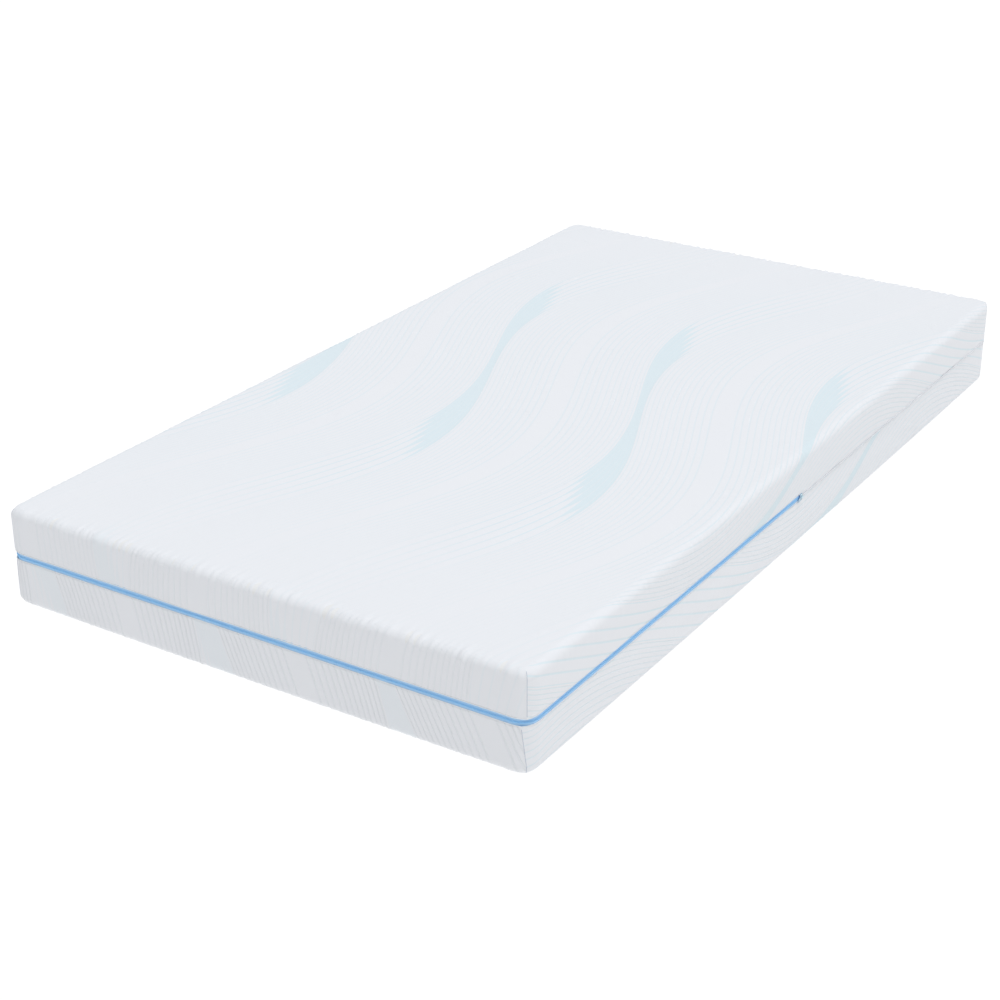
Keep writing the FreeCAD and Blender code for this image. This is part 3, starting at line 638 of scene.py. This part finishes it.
SHORT_WAVES = ((0.0128, 0.8), (0.0155, 1.0), (0.019, 0.9), (0.027, 0.7), (0.045, 0.5), (0.09, 0.4))
PUCKERS = {
    "front": ripple(SHORT_WAVES, 0.0030),
    "right": ripple(SHORT_WAVES, 0.0010),
    "back": ripple(SHORT_WAVES, 0.0030),
    "left": ripple(SHORT_WAVES, 0.0010),
}
SLOW_X = ripple(((0.17, 1), (0.29, 1.3), (0.47, 1)), 0.0005)
SLOW_Y = ripple(((0.19, 1), (0.33, 1.3), (0.61, 1)), 0.0005)
CROWN = 0.0015
SIDE_BOW = 0.0036
END_BOW = 0.0022


def seam_fade(run, straight):
    """1 along a wall, falling to 0 at its corner seams, where two walls have to meet."""
    return 1 - smooth((np.abs(run) - straight + 0.02) / (0.02 + CORNER * math.pi / 4))


def puckers(flat):
    """Small gathers where the panel's edge turns into the wall."""
    total = np.zeros(len(flat))
    for name, (out, along, straight) in SIDES.items():
        edge = (STRAIGHT_Y if straight == STRAIGHT_X else STRAIGHT_X) + FLAT_CORNER
        depth = flat @ np.array(out, float) - edge
        run = flat @ np.array(along, float)
        near_edge = np.exp(-(((depth - 0.006) / 0.019) ** 2))
        total += PUCKERS[name](run) * seam_fade(run, straight) * near_edge
    return total


def seat(half, crown=0.0, relief=0.0, cloth=None):
    """The half's points as the cloth sits: bowed walls, a slight crown, gathers and the woven relief."""
    points = half.points.copy()
    x, y = points[:, 0] / HALF_WIDTH, points[:, 1] / HALF_LENGTH
    offset = puckers(half.flat) * (1.0 if half.upper else 0.35)
    offset += crown * (1 - x**2) * (1 - y**2)
    offset += (SLOW_X(points[:, 0]) + SLOW_Y(points[:, 1])) * (crown > 0)
    if relief:
        u, v = np.moveaxis(cloth(half.flat), -1, 0)
        ribbon, fine = jacquard(u, v)
        on_end = np.abs(half.outs[:, 1]) > 0
        run = np.where(on_end, half.flat[:, 0], half.flat[:, 1])
        fade = seam_fade(run, np.where(on_end, STRAIGHT_X, STRAIGHT_Y))
        offset -= relief * ribbon * np.where(half.outs.any(axis=1), fade, 1.0)
    if not half.upper:
        offset *= half.outs.any(axis=1)
    z = points[:, 2]
    if half.upper:
        height = np.clip((z - FLAP_HEM) / (HEIGHT - FLAP_HEM), 0, 1)
        level = np.sin(np.pi * height) ** 0.8 * 0.75
    else:
        level = smooth((BASE_HEM - z) / 0.045)
    bow = np.where(np.abs(half.outs[:, 0]) > 0, SIDE_BOW * (1 - y**2), END_BOW * (1 - x**2)) * level
    points[:, :2] += half.outs * bow[:, None]
    if not half.upper:
        inner = ~half.outs.any(axis=1)
        near_x = smooth((np.abs(x) - 0.85) / 0.125) * np.sign(x) * SIDE_BOW * (1 - y**2)
        near_y = smooth((np.abs(y) - 0.92) / 0.065) * np.sign(y) * END_BOW * (1 - x**2)
        points[inner, 0] += near_x[inner]
        points[inner, 1] += near_y[inner]
    return points + half.normals * offset[:, None]


def hem_at(front, rear):
    """The hem's fall from the panel at a place along the side: front ahead of the zip's end, rear behind it."""
    return lambda y: front + (rear - front) * smooth((y - ZIP_END + 0.003) / 0.004)


# How far each row stops short of the hem, and its reach from the wall: the stitched groove, then the turned-in cloth.
HEM_ROWS = (
    (0.0052, 0.0),
    (0.0040, 0.0001),
    (0.0030, -0.0002),
    (0.0024, -0.0005),
    (0.0018, -0.0001),
    (0.0010, 0.0002),
    (0.0003, 0.0),
    (0.0, -0.0005),
    (0.0002, -0.0012),
    (0.0012, -0.0015),
    (0.0040, -0.0015),
    (0.0100, -0.0015),
)


def cloth_marks(half):
    """At each point, how strong the blue yarn is, how deep the fine lines are (mm) and how far the cloth gathers,
    which sets the gathers' bump and their painted shade.
    """
    x, y = half.flat[:, 0], half.flat[:, 1]
    panel = (1 - 0.75 * smooth((-y - 0.50) / 0.36)) * (1 - 0.65 * smooth((y - 0.62) / 0.24))
    side = panel + (1 - panel) * smooth((np.abs(x) - 0.495) / 0.035)
    on_end, on_side = np.abs(half.outs[:, 1]) > 0, np.abs(half.outs[:, 0]) > 0
    dye = np.where(on_end, 0.25, side * np.where(on_side, 1.2, 1.0))
    relief = np.where(on_end, 0.40 if half.upper else 0.65, np.where(on_side, 0.28, 0.14))
    depth = np.abs(y) - STRAIGHT_Y - FLAT_CORNER
    gather = np.exp(-(((depth - 0.010) / 0.020) ** 2)) * half.upper
    return dye, relief, gather


def make_cover(name, upper, hem, cell, peak, lean, cloth, crown, relief):
    half = Half(upper, 0.0, hem, cell, peak, lean, HEM_ROWS)
    points = seat(half, crown, relief, cloth)
    piece = new_piece(name, points, half.quads(), COVER_CLOTH, uv=half.cloth_map(cloth))
    for mark, values in zip(CLOTH_MARKS, cloth_marks(half)):
        layer = piece.data.attributes.new(mark, "FLOAT", "POINT")
        layer.data.foreach_set("value", values.astype(np.float32))
    return half, points, piece


TOP_CELL = 0.004
BASE_CELL = 0.006

TOP_PEAK, BASE_PEAK, BASE_LEAN = 0.20, 0.16, 0.26  # how far the corners stand out, and how the base's lean
TOP_RELIEF, BASE_RELIEF = 0.0004, 0.0003

top_hem = hem_at(HEIGHT - FLAP_HEM, HEIGHT - REAR_HEM)
top_half, top_points, cover_top = make_cover(
    "cover_top", True, top_hem, TOP_CELL, TOP_PEAK, 0.0, top_cloth, CROWN, TOP_RELIEF
)
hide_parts("cover_top_flap", "cover_top_rear")
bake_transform(cover_top)

base_hem = hem_at(BASE_HEM, BASE_REAR_HEM)
base_half, base_points, base_cover = make_cover(
    "cover_lower", False, base_hem, BASE_CELL, BASE_PEAK, BASE_LEAN, base_cloth, 0.0, BASE_RELIEF
)
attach(base_cover, "mattress")
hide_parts("cover_base")


# ---------------------------------------------------------------- wadding
WADDING_FACES = (0.0017, 0.0064)  # depth of its two faces behind the cover's
WADDING_CELL = 0.014


def make_wadding(name, upper, hem_z):
    """A layer of fibre behind one half of the cover, as far as the zip's tape."""
    fall = HEIGHT - hem_z if upper else hem_z
    outer, inner = (Half(upper, inset, hem_at(fall, fall), WADDING_CELL) for inset in WADDING_FACES)
    lumps = ripple(((0.05, 1), (0.083, 1), (0.14, 1)), 0.0006)
    rough = lumps(inner.points[:, 0]) * lumps(inner.points[:, 1] + 0.3) / 0.0006
    skin = seat(outer)
    lining = seat(inner) + inner.normals * rough[:, None]
    points = np.concatenate([skin, lining])
    shift = len(skin)
    rim = [lattice(np.vstack([i[-1], i[-1] + shift]), upper) for i, flat, strip in outer.patches if strip]
    quads = np.concatenate([outer.quads(), inner.quads(turned=True) + shift, *rim])
    return new_piece(name, points, quads, WADDING)


top_wadding = make_wadding("top_wadding", True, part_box("flap_wadding")[0].z)
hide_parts("flap_wadding", "top_rear_wadding")
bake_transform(top_wadding)
lower_wadding = make_wadding("lower_wadding", False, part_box("base_wadding")[1].z)
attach(lower_wadding, "mattress")
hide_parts("base_wadding")


# ---------------------------------------------------------------- foam and its sleeve
def rounded_block(low, high, radius, corner, cell):
    """Points, outward directions, quads and the cloth's places of a closed block with rounded edges and plan corners."""
    low, high = np.array(low), np.array(high)
    runs = []
    for i in range(3):
        turn = corner if i < 2 else radius
        near = [(0, radius, radius / 3)] + ([(radius, corner, corner / 6)] if i < 2 else [])
        first = [(low[i] + a, low[i] + b, step) for a, b, step in near]
        last = [(high[i] - b, high[i] - a, step) for a, b, step in reversed(near)]
        runs.append(spaced(*first, (low[i] + turn, high[i] - turn, cell), *last))
    points, quads, flats, shift = [], [], [], 0
    for axis in range(3):
        a, b = [i for i in range(3) if i != axis]
        for side, place in ((-1, low[axis]), (1, high[axis])):
            first, second = np.meshgrid(runs[a], runs[b])
            grid = np.zeros((*first.shape, 3))
            grid[..., a], grid[..., b], grid[..., axis] = first, second, place
            index = shift + np.arange(first.size).reshape(first.shape)
            turned = (side < 0) != (axis == 1)
            quads.append(lattice(index, turned))
            flats.append(lattice(np.dstack([first, second]), turned).reshape(-1, 2))
            points.append(grid.reshape(-1, 3))
            shift += first.size
    points, quads = np.concatenate(points), np.concatenate(quads)
    inner = np.clip(points, low + radius, high - radius)
    outward = points - inner
    outward /= np.linalg.norm(outward, axis=1)[:, None]
    points = inner + outward * radius
    straight = high[:2] - corner
    beyond = np.maximum(np.abs(points[:, :2]) - straight, 0)
    reach = np.maximum(np.hypot(*beyond.T), 1e-9)
    in_corner = beyond.min(axis=1) > 1e-6
    way = np.sign(points[:, :2]) * beyond / reach[:, None]
    rounded = np.sign(points[:, :2]) * straight + way * beyond.max(axis=1)[:, None]
    points[in_corner, :2] = rounded[in_corner]
    sideways = np.hypot(outward[:, 0], outward[:, 1])
    outward[in_corner, :2] = (way * sideways[:, None])[in_corner]
    _, first, number = np.unique(np.round(points, 7), axis=0, return_index=True, return_inverse=True)
    return points[first], outward[first], number.ravel()[quads], np.concatenate(flats)


SLEEVE_THICK = 0.0006
SLEEVE_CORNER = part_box("inner_sleeve")[1].x - STRAIGHT_X
FOAM_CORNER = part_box("memory_foam_layer")[1].x - STRAIGHT_X


def make_foam(name, node, material, radius, swell):
    """A foam block, cut a little unevenly, inside its frame node's box."""
    low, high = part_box(node)
    points, outward, quads, flats = rounded_block(low, high, radius, FOAM_CORNER, 0.02)
    wave = ripple(((0.06, 1), (0.10, 1), (0.19, 1.2)), swell)
    points = points - outward * (swell + wave(points[:, 0]) * wave(points[:, 1] + points[:, 2]) / swell)[:, None]
    foam = new_piece(name, points, quads, material, "mattress", replaces=[node])
    return foam


make_foam("foam_core", "support_foam_core", SUPPORT_FOAM, 0.006, 0.0004)
make_foam("foam_top", "memory_foam_layer", MEMORY_FOAM, 0.006, 0.0004)

sleeve_low, sleeve_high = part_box("inner_sleeve")
sleeve_shape = rounded_block(sleeve_low, sleeve_high, 0.007, SLEEVE_CORNER, 0.012)
sleeve_points, sleeve_out, sleeve_quads, sleeve_flat = sleeve_shape
crease = ripple(((0.041, 1), (0.067, 1), (0.12, 1.4), (0.31, 1.6)), 0.0007)
slack = crease(sleeve_points[:, 0] * 0.3 + sleeve_points[:, 1])
slack += crease(sleeve_points[:, 0] + sleeve_points[:, 1] * 0.15 + 0.2)
sleeve_skin = sleeve_points + sleeve_out * (slack * 0.35 - 0.0002)[:, None]
sleeve_lining = sleeve_skin - sleeve_out * SLEEVE_THICK
lining_flat = sleeve_flat.reshape(-1, 4, 2)[:, ::-1].reshape(-1, 2)
sleeve = new_piece(
    "foam_sleeve",
    np.concatenate([sleeve_skin, sleeve_lining]),
    np.concatenate([sleeve_quads, sleeve_quads[:, ::-1] + len(sleeve_skin)]),
    SLEEVE,
    "mattress",
    np.concatenate([sleeve_flat, lining_flat]),
    ["inner_sleeve"],
)


# ---------------------------------------------------------------- what runs round the walls
def round_the_wall(run, start_y, toward):
    """Hubs and ways out, run metres from start_y on the right wall: round the front for -1, the rear for 1."""
    side = STRAIGHT_Y - toward * start_y
    turn = CORNER * math.pi / 2
    ends = np.cumsum([side, turn, 2 * STRAIGHT_X, turn])
    hub_x = np.interp(run, [0, ends[1], ends[2]], [STRAIGHT_X, STRAIGHT_X, -STRAIGHT_X])
    far_y = toward * STRAIGHT_Y
    hub_y = np.interp(run, [0, side, ends[3], ends[3] + side], [start_y, far_y, far_y, start_y])
    angle = np.interp(run, [side, ends[0] + turn, ends[2], ends[3]], [0, math.pi / 2, math.pi / 2, math.pi])
    out = np.c_[np.cos(angle), toward * np.sin(angle)]
    return np.c_[hub_x, hub_y], out


def wall_length(start_y, toward):
    return 2 * (STRAIGHT_Y - toward * start_y) + CORNER * math.pi + 2 * STRAIGHT_X


def on_wall(run, reach, level, start_y, toward=-1):
    """Points reach metres outside the wall's nominal face at that level."""
    hub, out = round_the_wall(run, start_y, toward)
    place = hub + out * (CORNER + reach)[:, None]
    return np.c_[place, level + 0 * run]


def wall_band(name, profile, start_y, toward, step, material):
    """A band of this section, (reach, level) points, swept round the wall."""
    length = wall_length(start_y, toward)
    run = np.linspace(0, length, round(length / step) + 1)
    section = [*profile, profile[0]]
    rows = np.array([on_wall(run, reach + 0 * run, level, start_y, toward) for reach, level in section])
    girth = np.concatenate([[0], np.cumsum([math.dist(a, b) for a, b in zip(section, section[1:])])])
    flat = np.dstack(np.broadcast_arrays(run[None, :], girth[:, None]))
    index = np.arange(rows[:, :, 0].size).reshape(rows.shape[:2])
    quads, places = lattice(index, toward > 0), lattice(flat, toward > 0)
    return new_piece(name, rows.reshape(-1, 3), quads, material, uv=places.reshape(-1, 2))


TAPE_THICK = 0.0007
TAPE_PROUD = 0.0006


def tape_section(node):
    """The tape's section from its node: its selvedges and middle stand a little proud."""
    low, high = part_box(node)
    inner, outer = high.x - TAPE_THICK - HALF_WIDTH, high.x - HALF_WIDTH
    levels = np.linspace(low.z, high.z, 7)
    swell = np.array([0.0, 0.0001, 0.00005, 0.0, 0.00005, 0.0001, 0.0])
    face = [(outer + TAPE_PROUD + s, z) for s, z in zip(swell, levels)]
    return face + [(inner, z) for z in levels[::-1]]


tape_lower = wall_band("zip_tape_lower_half", tape_section("zip_tape_lower"), ZIP_START, -1, 0.004, TAPE)
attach(tape_lower, "mattress")
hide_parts("zip_tape_lower")
tape_upper = wall_band("zip_tape_upper_half", tape_section("zip_tape_upper"), ZIP_START, -1, 0.003, TAPE)
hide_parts("zip_tape_upper", "zip_tape_upper_ends")
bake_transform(tape_upper)


def tubes(spines, radii, reference, sides=5):
    """Round tubes along spines (n, m, 3) with a radius at each point: points and quads."""
    ahead = np.gradient(spines, axis=1)
    ahead /= np.linalg.norm(ahead, axis=2, keepdims=True)
    first = np.cross(ahead, reference)
    first /= np.linalg.norm(first, axis=2, keepdims=True)
    second = np.cross(ahead, first)
    angle = np.linspace(0, 2 * math.pi, sides, endpoint=False)
    rings = spines[:, :, None] + radii[:, :, None, None] * (
        first[:, :, None] * np.cos(angle)[:, None] + second[:, :, None] * np.sin(angle)[:, None]
    )
    n, m = spines.shape[:2]
    index = np.arange(n * m * sides).reshape(n, m, sides)
    index = np.concatenate([index, index[:, :, :1]], axis=2)
    corners = [index[:, :-1, :-1], index[:, 1:, :-1], index[:, 1:, 1:], index[:, :-1, 1:]]
    return rings.reshape(-1, 3), np.stack(corners, axis=-1).reshape(-1, 4)


COIL_PITCH = 0.0022
WIRE = 0.00048
COIL_DEPTH, COIL_RISE = 0.00043, 0.00082  # from the middle of a loop to its wire, out of the wall and up it
COIL_REACH = -0.00055
COIL_LOW, COIL_HIGH = 0.09222, 0.09378
POINTS_PER_TURN = 10


def make_coil(name, middle, phase, nodes):
    """The zip's coil: flat loops of nylon, one per tooth, all the way round."""
    length = wall_length(ZIP_START, -1)
    turns = int(length / COIL_PITCH) - 1
    step = np.arange(turns * POINTS_PER_TURN)
    angle = step * (2 * math.pi / POINTS_PER_TURN)
    run = (step / POINTS_PER_TURN + phase) * COIL_PITCH + 0.0004
    reach = COIL_REACH + COIL_DEPTH * np.cos(angle)
    level = middle + COIL_RISE * np.sin(angle)
    hub, out = round_the_wall(run, ZIP_START, -1)
    spine = np.c_[hub + out * (CORNER + reach)[:, None], level]
    reference = np.c_[-out[:, 1], out[:, 0], 0 * run]
    points, quads = tubes(spine[None], np.full((1, len(run)), WIRE), reference[None], 4)
    coil = new_piece(name, points, quads, COIL_WITH_PAINTED_GLOW)
    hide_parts(*nodes)
    return coil


coil_lower = make_coil("zip_teeth_lower", COIL_LOW, 0.0, ["zip_coil_lower"])
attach(coil_lower, "mattress")
coil_upper = make_coil("zip_teeth_upper", COIL_HIGH, 0.5, ["zip_coil_upper", "zip_coil_upper_ends"])
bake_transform(coil_upper)


STITCH_PITCH, STITCH_THICK = 0.0032, 0.00022
STITCH_SETBACK = 0.0024  # from the hem's edge, in the groove
STITCH_REACH = -0.0001


def make_stitches(name, level, nodes):
    """A row of stitches along the zip: short threads that dip into the cloth at both ends."""
    length = wall_length(ZIP_START, -1)
    starts = np.arange(0.0015, length - STITCH_PITCH, STITCH_PITCH)
    share = np.array([0.0, 0.18, 0.5, 0.82, 1.0])
    run = starts[:, None] + share * STITCH_PITCH * 0.86
    dip = np.array([-0.00045, 0.0, 0.0001, 0.0, -0.00045])
    reach = STITCH_REACH + np.tile(dip, len(starts))
    spine = on_wall(run.ravel(), reach, level, ZIP_START).reshape(len(starts), 5, 3)
    radii = np.tile(np.array([0.6, 0.95, 1.05, 0.95, 0.6]) * STITCH_THICK, (len(starts), 1))
    reference = np.tile((0.0, 0.0, 1.0), (len(starts), 5, 1))
    points, quads = tubes(spine, radii, reference, 5)
    row = new_piece(name, points, quads, THREAD)
    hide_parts(*nodes)
    return row


upper_row = make_stitches("upper_stitching", FLAP_HEM + STITCH_SETBACK, ["flap_zip_stitching"])
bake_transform(upper_row)
lower_row = make_stitches("lower_stitching", BASE_HEM - STITCH_SETBACK, ["base_zip_stitching"])
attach(lower_row, "mattress")

BEAD, BEAD_REACH, BEAD_START = 0.0011, 0.0004, -0.0026
bead_low, bead_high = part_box("joining_seam")
bead_level = (bead_low.z + bead_high.z) / 2
bead_turn = np.linspace(0, 2 * math.pi, 9)[:-1]
bead_section = [(BEAD_REACH + BEAD * math.cos(a), bead_level + BEAD * math.sin(a)) for a in bead_turn]
bead = wall_band("joining_bead", bead_section, BEAD_START, 1, 0.004, THREAD)
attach(bead, "mattress")
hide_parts("joining_seam")


SEAM_THICK = 0.0005


def make_corner_seams(name, half, points, which, body, nodes):
    """Threads that close the cover's corners: one up each crease."""
    spines = np.array([points[half.seams[i]][1 : -len(HEM_ROWS) + 1] for i in which])
    ways = np.array([(1 if s[0, 0] > 0 else -1, 1 if s[0, 1] > 0 else -1) for s in spines]) * math.sqrt(0.5)
    spines[:, :, :2] -= ways[:, None, :] * 0.0002
    reference = np.c_[-ways[:, 1], ways[:, 0], 0 * ways[:, 0]][:, None, :] + 0 * spines
    radii = np.full(spines.shape[:2], SEAM_THICK)
    points, quads = tubes(spines, radii, reference, 6)
    return new_piece(name, points, quads, SEAM_THREAD, body, replaces=nodes)


FRONT_RIGHT, BACK_RIGHT, BACK_LEFT, FRONT_LEFT = range(4)
make_corner_seams(
    "flap_corner_threads", top_half, top_points, (FRONT_RIGHT, FRONT_LEFT), "cover_flap", ["flap_corner_seams"]
)
make_corner_seams(
    "rear_corner_threads", top_half, top_points, (BACK_RIGHT, BACK_LEFT), "mattress", ["rear_corner_seams"]
)
make_corner_seams(
    "base_corner_threads", base_half, base_points, range(4), "mattress", ["base_corner_seams"]
)


def make_tacks():
    """Bars of close thread across the zip's two ends."""
    low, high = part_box("zip_end_tacks")
    count = 8
    spines = []
    for side in (-1, 1):
        for y in np.linspace(low.y + 0.0001, high.y - 0.0001, count):
            z = np.linspace(low.z + 0.0004, high.z - 0.0004, 7)
            bend = np.array([-0.0010, -0.0003, 0.0, 0.0001, 0.0, -0.0003, -0.0010])
            spines.append(np.c_[side * (high.x + bend), y + 0.00008 * np.sin(z * 3000), z])
    spines = np.array(spines)
    reference = np.tile((0.0, 1.0, 0.0), (*spines.shape[:2], 1))
    points, quads = tubes(spines, np.full(spines.shape[:2], 0.00018), reference, 5)
    return new_piece("end_tacks", points, quads, BLUE_THREAD, "mattress", replaces=["zip_end_tacks"])


make_tacks()


def make_sleeve_seams():
    """Overlocked ridges where the sleeve is closed at the foot and the head."""
    low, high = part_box("sleeve_end_seams")
    level = (low.z + high.z) / 2
    pitch = 0.0024  # of the overlocking loops
    spines = []
    for side in (-1, 1):
        x = np.arange(low.x + pitch, high.x - pitch, pitch / 8)
        turn = (x / pitch) * 2 * math.pi
        spines.append(np.c_[x, side * (high.y - 0.0010 + 0.0008 * np.cos(turn)), level + 0.0006 * np.sin(turn)])
    spines = np.array(spines)
    reference = np.tile((1.0, 0.0, 0.0), (*spines.shape[:2], 1))
    points, quads = tubes(spines, np.full(spines.shape[:2], 0.00022), reference, 4)
    return new_piece("sleeve_overlock", points, quads, THREAD, "mattress", replaces=["sleeve_end_seams"])


make_sleeve_seams()

# ---------------------------------------------------------------- slider and tab keep their own shapes
for node, material in (("zip_slider", SLIDER_ENAMEL), ("pull_tab", TAB_ENAMEL)):
    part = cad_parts[node]
    part.data.materials.clear()
    part.data.materials.append(material)

# ---------------------------------------------------------------- floor, light and camera
FLOOR_GLOW, FLOOR_REACH = 0.93, 60.0
SKY_STRENGTH, SUN_STRENGTH = 0.47, 0.54 * math.pi
UNLIT_INSET = 0.0115  # the floor is unlit this far in from the mattress's outline


def studio_floor(start):
    """Pale all round, and unlit where the mattress lies on it."""
    x, y = axes_of(solid_place(start))
    past_x, past_y = larger(size(x) - STRAIGHT_X, 0.0), larger(size(y) - STRAIGHT_Y, 0.0)
    clear = over(past_x * past_x + past_y * past_y, (CORNER - UNLIT_INSET) ** 2)
    grain = noise(start, solid_place(start), 3.0, 2.0)
    return {
        "Base Color": mixed(grain, (0.10, 0.10, 0.10), (0.11, 0.11, 0.11)),
        "Emission Color": mixed(clear, (0.0, 0.0, 0.0), (1.0, 1.0, 1.0)),
    }


floor_mesh = bpy.data.meshes.new("studio_floor")
floor_corners = [(FLOOR_REACH * x, FLOOR_REACH * y, 0) for x, y in ((-1, -1), (1, -1), (1, 1), (-1, 1))]
floor_mesh.from_pydata(floor_corners, [], [(0, 1, 2, 3)])
floor_mesh.materials.append(
    finish("pale floor", studio_floor, Roughness=1.0, Emission_Strength=FLOOR_GLOW)
)
floor_object = bpy.data.objects.new("studio_floor", floor_mesh)
floor_object.location.z = -0.0006
bpy.context.scene.collection.objects.link(floor_object)

world = bpy.data.worlds.new("soft studio")
bpy.context.scene.world = world
world.use_nodes = True
world.node_tree.nodes["Background"].inputs["Color"].default_value = (0.975, 1.0, 1.03, 1.0)
world.node_tree.nodes["Background"].inputs["Strength"].default_value = SKY_STRENGTH

lamp = bpy.data.lights.new("window light", "SUN")
lamp.energy = SUN_STRENGTH
lamp.angle = math.radians(50)
lamp_object = bpy.data.objects.new("window light", lamp)
lamp_object.rotation_mode = "QUATERNION"
lamp_object.rotation_quaternion = Vector((0.19, 0.05, 0.975)).to_track_quat("Z", "Y")
bpy.context.scene.collection.objects.link(lamp_object)

YAW, PITCH, ROLL = -0.5689, 0.4417, -0.0018
camera_data = bpy.data.cameras.new("camera")
camera_data.sensor_width = 36.0
camera_data.lens = 72.7
camera_data.clip_start, camera_data.clip_end = 0.05, 200.0
camera = bpy.data.objects.new("camera", camera_data)
ahead = Vector((math.sin(YAW) * math.cos(PITCH), math.cos(YAW) * math.cos(PITCH), -math.sin(PITCH)))
level = Vector((math.cos(YAW), -math.sin(YAW), 0))
upward = level.cross(ahead)
right_way = math.cos(ROLL) * level + math.sin(ROLL) * upward
up_way = -math.sin(ROLL) * level + math.cos(ROLL) * upward
camera.matrix_world = Matrix(
    (
        (right_way.x, up_way.x, -ahead.x, 1.8557),
        (right_way.y, up_way.y, -ahead.y, -3.1078),
        (right_way.z, up_way.z, -ahead.z, 1.6596),
        (0, 0, 0, 1),
    )
)
bpy.context.scene.collection.objects.link(camera)
bpy.context.scene.camera = camera
bpy.context.scene.view_settings.view_transform = "Standard"
